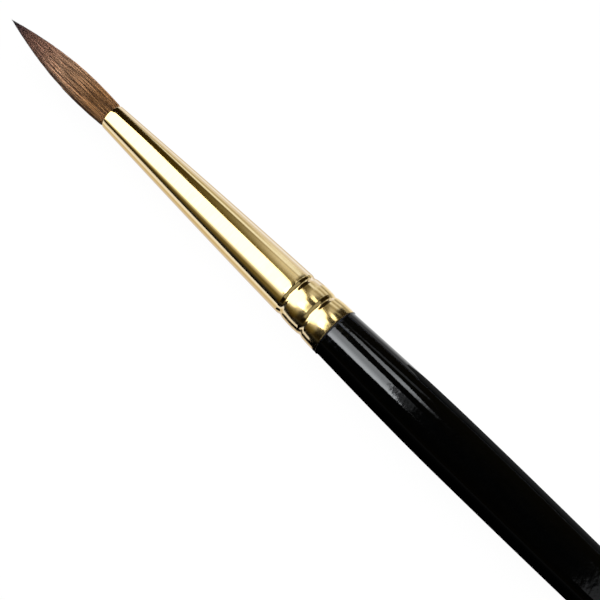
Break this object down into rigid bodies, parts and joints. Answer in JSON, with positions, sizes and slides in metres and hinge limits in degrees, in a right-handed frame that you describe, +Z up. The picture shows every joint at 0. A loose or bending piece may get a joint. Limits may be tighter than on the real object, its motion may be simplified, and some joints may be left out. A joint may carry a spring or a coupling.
{
  "type": "acrylic nail brush",
  "caption": "Pointed round natural-hair brush for sculpting nail product, held in a tapered crimped metal ferrule on a slim lacquered handle.",
  "frame": {"origin": "middle of the brush's length, on the surface that its handle's swell lies on", "axes": "+X along the brush from the point of the hair to the butt of the handle, +Z up, the brush's axis level"},
  "size_m": [0.1774, 0.007, 0.007],
  "materials": {
    "gold_ferrule": "gold-coloured seamless brass, polished, with fine polishing lines round it",
    "black_lacquer": "several dipped coats of black lacquer, high gloss",
    "turned_wood": "turned hardwood, sanded, uncoated under the lacquer and in the ferrule",
    "wood_glue": "set glue, smooth",
    "epoxy": "set amber epoxy, smooth",
    "binding_thread": "waxed undyed thread",
    "natural_hair": "brown natural hair, golden at the base and near black at the point, satin"
  },
  "bodies": {
    "root": {"ferrule": "gold_ferrule", "handle_wood": "turned_wood", "handle_lacquer": "black_lacquer", "tenon_glue": "wood_glue", "root_epoxy": "epoxy", "root_thread": "binding_thread", "hair_core": "natural_hair", "hair_inner": "natural_hair", "hair_middle": "natural_hair", "hair_belly": "natural_hair"}
  },
  "joints": []
}
